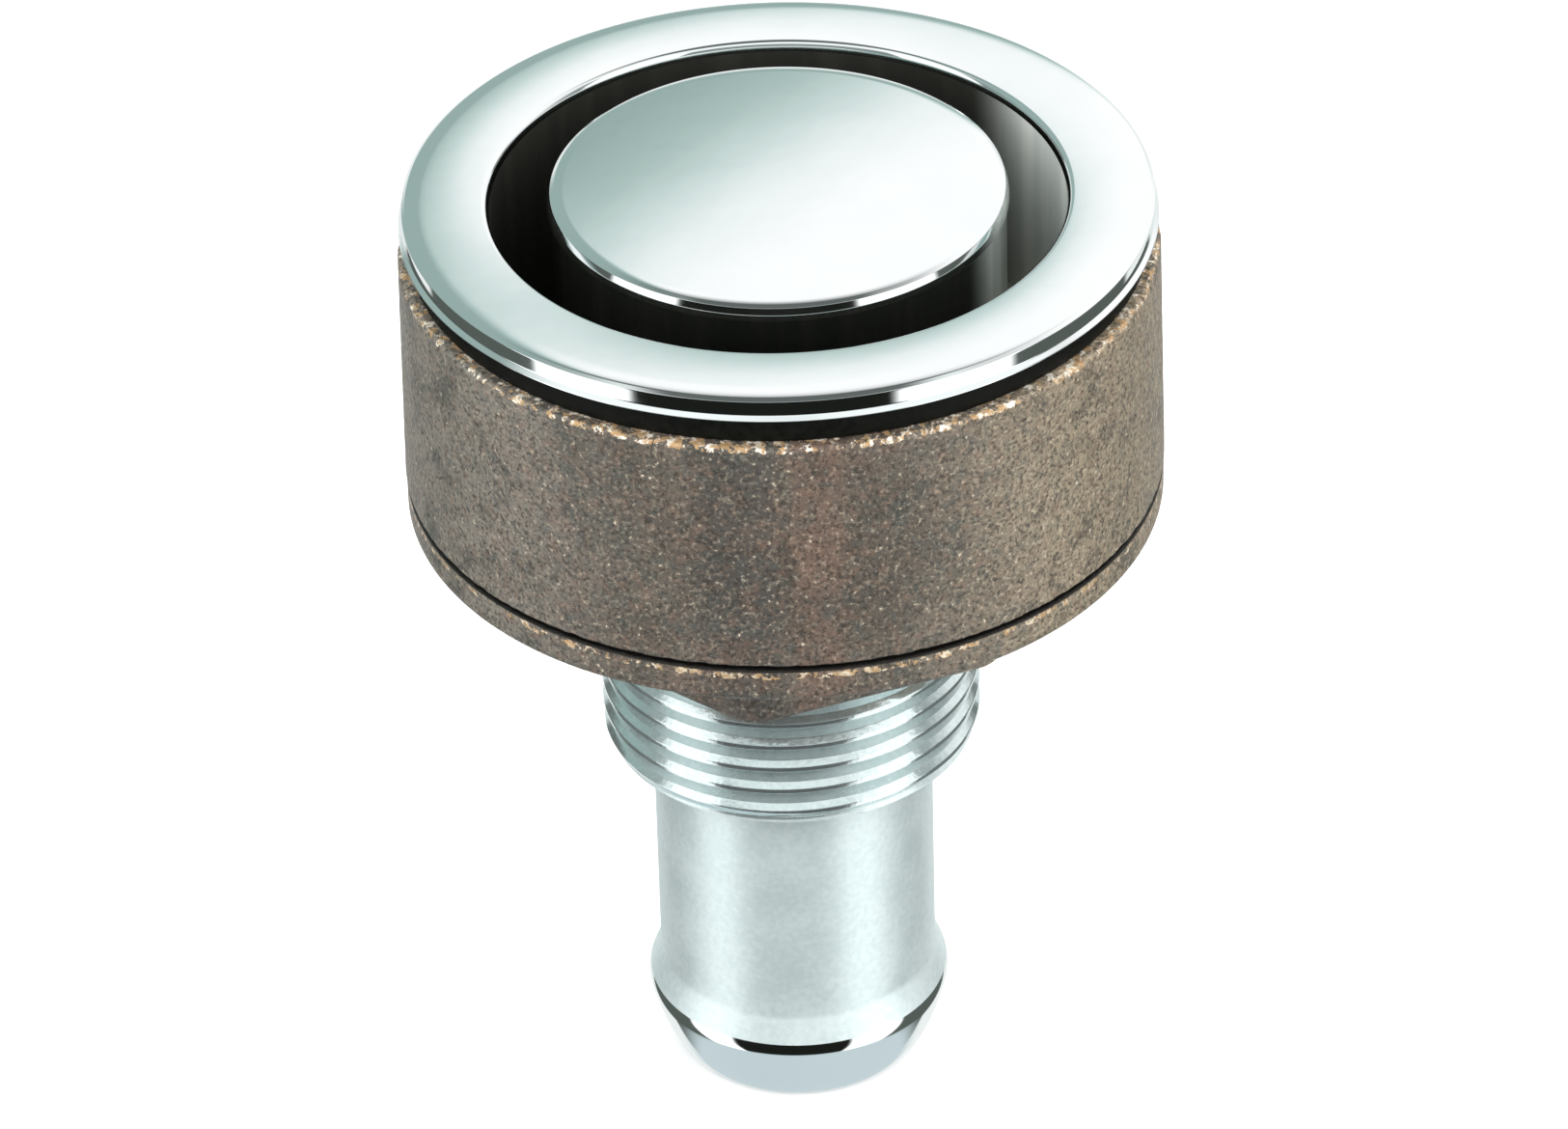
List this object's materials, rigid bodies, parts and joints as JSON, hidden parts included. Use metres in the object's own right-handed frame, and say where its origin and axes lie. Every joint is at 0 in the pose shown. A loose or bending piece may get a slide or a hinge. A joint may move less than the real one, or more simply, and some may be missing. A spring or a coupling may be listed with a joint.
{
  "type": "flush tank air vent",
  "caption": "Flush round tank vent: chromed flange and bowl with a raised deflector disc, threaded shank, beaded hose tail, float check valve, cast spacer ring and flanged clamping nut.",
  "frame": {"origin": "centre of the hose tail's end face, on the vent's axis", "axes": "+Z along the vent's axis, from the hose tail towards the flange"},
  "size_m": [0.0656, 0.0656, 0.0902],
  "materials": {
    "chrome_plate": "polished chrome plate, satin on the hose tail",
    "cast_bronze": "as-cast, oxidised brown-grey, bright along worn edges",
    "machined_brass": "turned",
    "stainless_steel": "plain",
    "black_rubber": "matt",
    "float_plastic": "moulded, off-white"
  },
  "bodies": {
    "vent": {"vent_body": "chrome_plate", "flange_gasket": "black_rubber", "deflector_cap": "chrome_plate", "cap_stud": "stainless_steel", "cap_lock_washer": "stainless_steel", "cap_bridge": "machined_brass", "bridge_screw_1": "stainless_steel", "bridge_screw_2": "stainless_steel", "bridge_screw_3": "stainless_steel", "retaining_ring": "stainless_steel", "upper_gauze": "stainless_steel", "gauze_spacer": "machined_brass", "lower_gauze": "stainless_steel", "valve_seat": "machined_brass", "seat_o_ring": "black_rubber", "float_guide": "machined_brass", "guide_pin": "stainless_steel"},
    "clamp_ring": {"clamp_spacer": "cast_bronze"},
    "nut": {"flange_nut": "cast_bronze"},
    "float_valve": {"float": "float_plastic", "float_seal": "black_rubber", "seal_retainer": "stainless_steel"}
  },
  "joints": [
    {"name": "clamp_slide", "type": "slide", "parent": "vent", "child": "clamp_ring", "axis": [0, 0, -1], "range_m": [0, 0.0127]},
    {"name": "nut_turn", "type": "hinge", "parent": "clamp_ring", "child": "nut", "pos_m": [0, 0, 0.05575], "axis": [0, 0, -1], "range_deg": [0, 1980]},
    {"name": "float_lift", "type": "slide", "parent": "vent", "child": "float_valve", "axis": [0, 0, 1], "range_m": [0, 0.006]}
  ],
  "couplings": [
    {"joint": "clamp_slide", "follows": "nut_turn", "m_per_rad": 0.0003675}
  ]
}
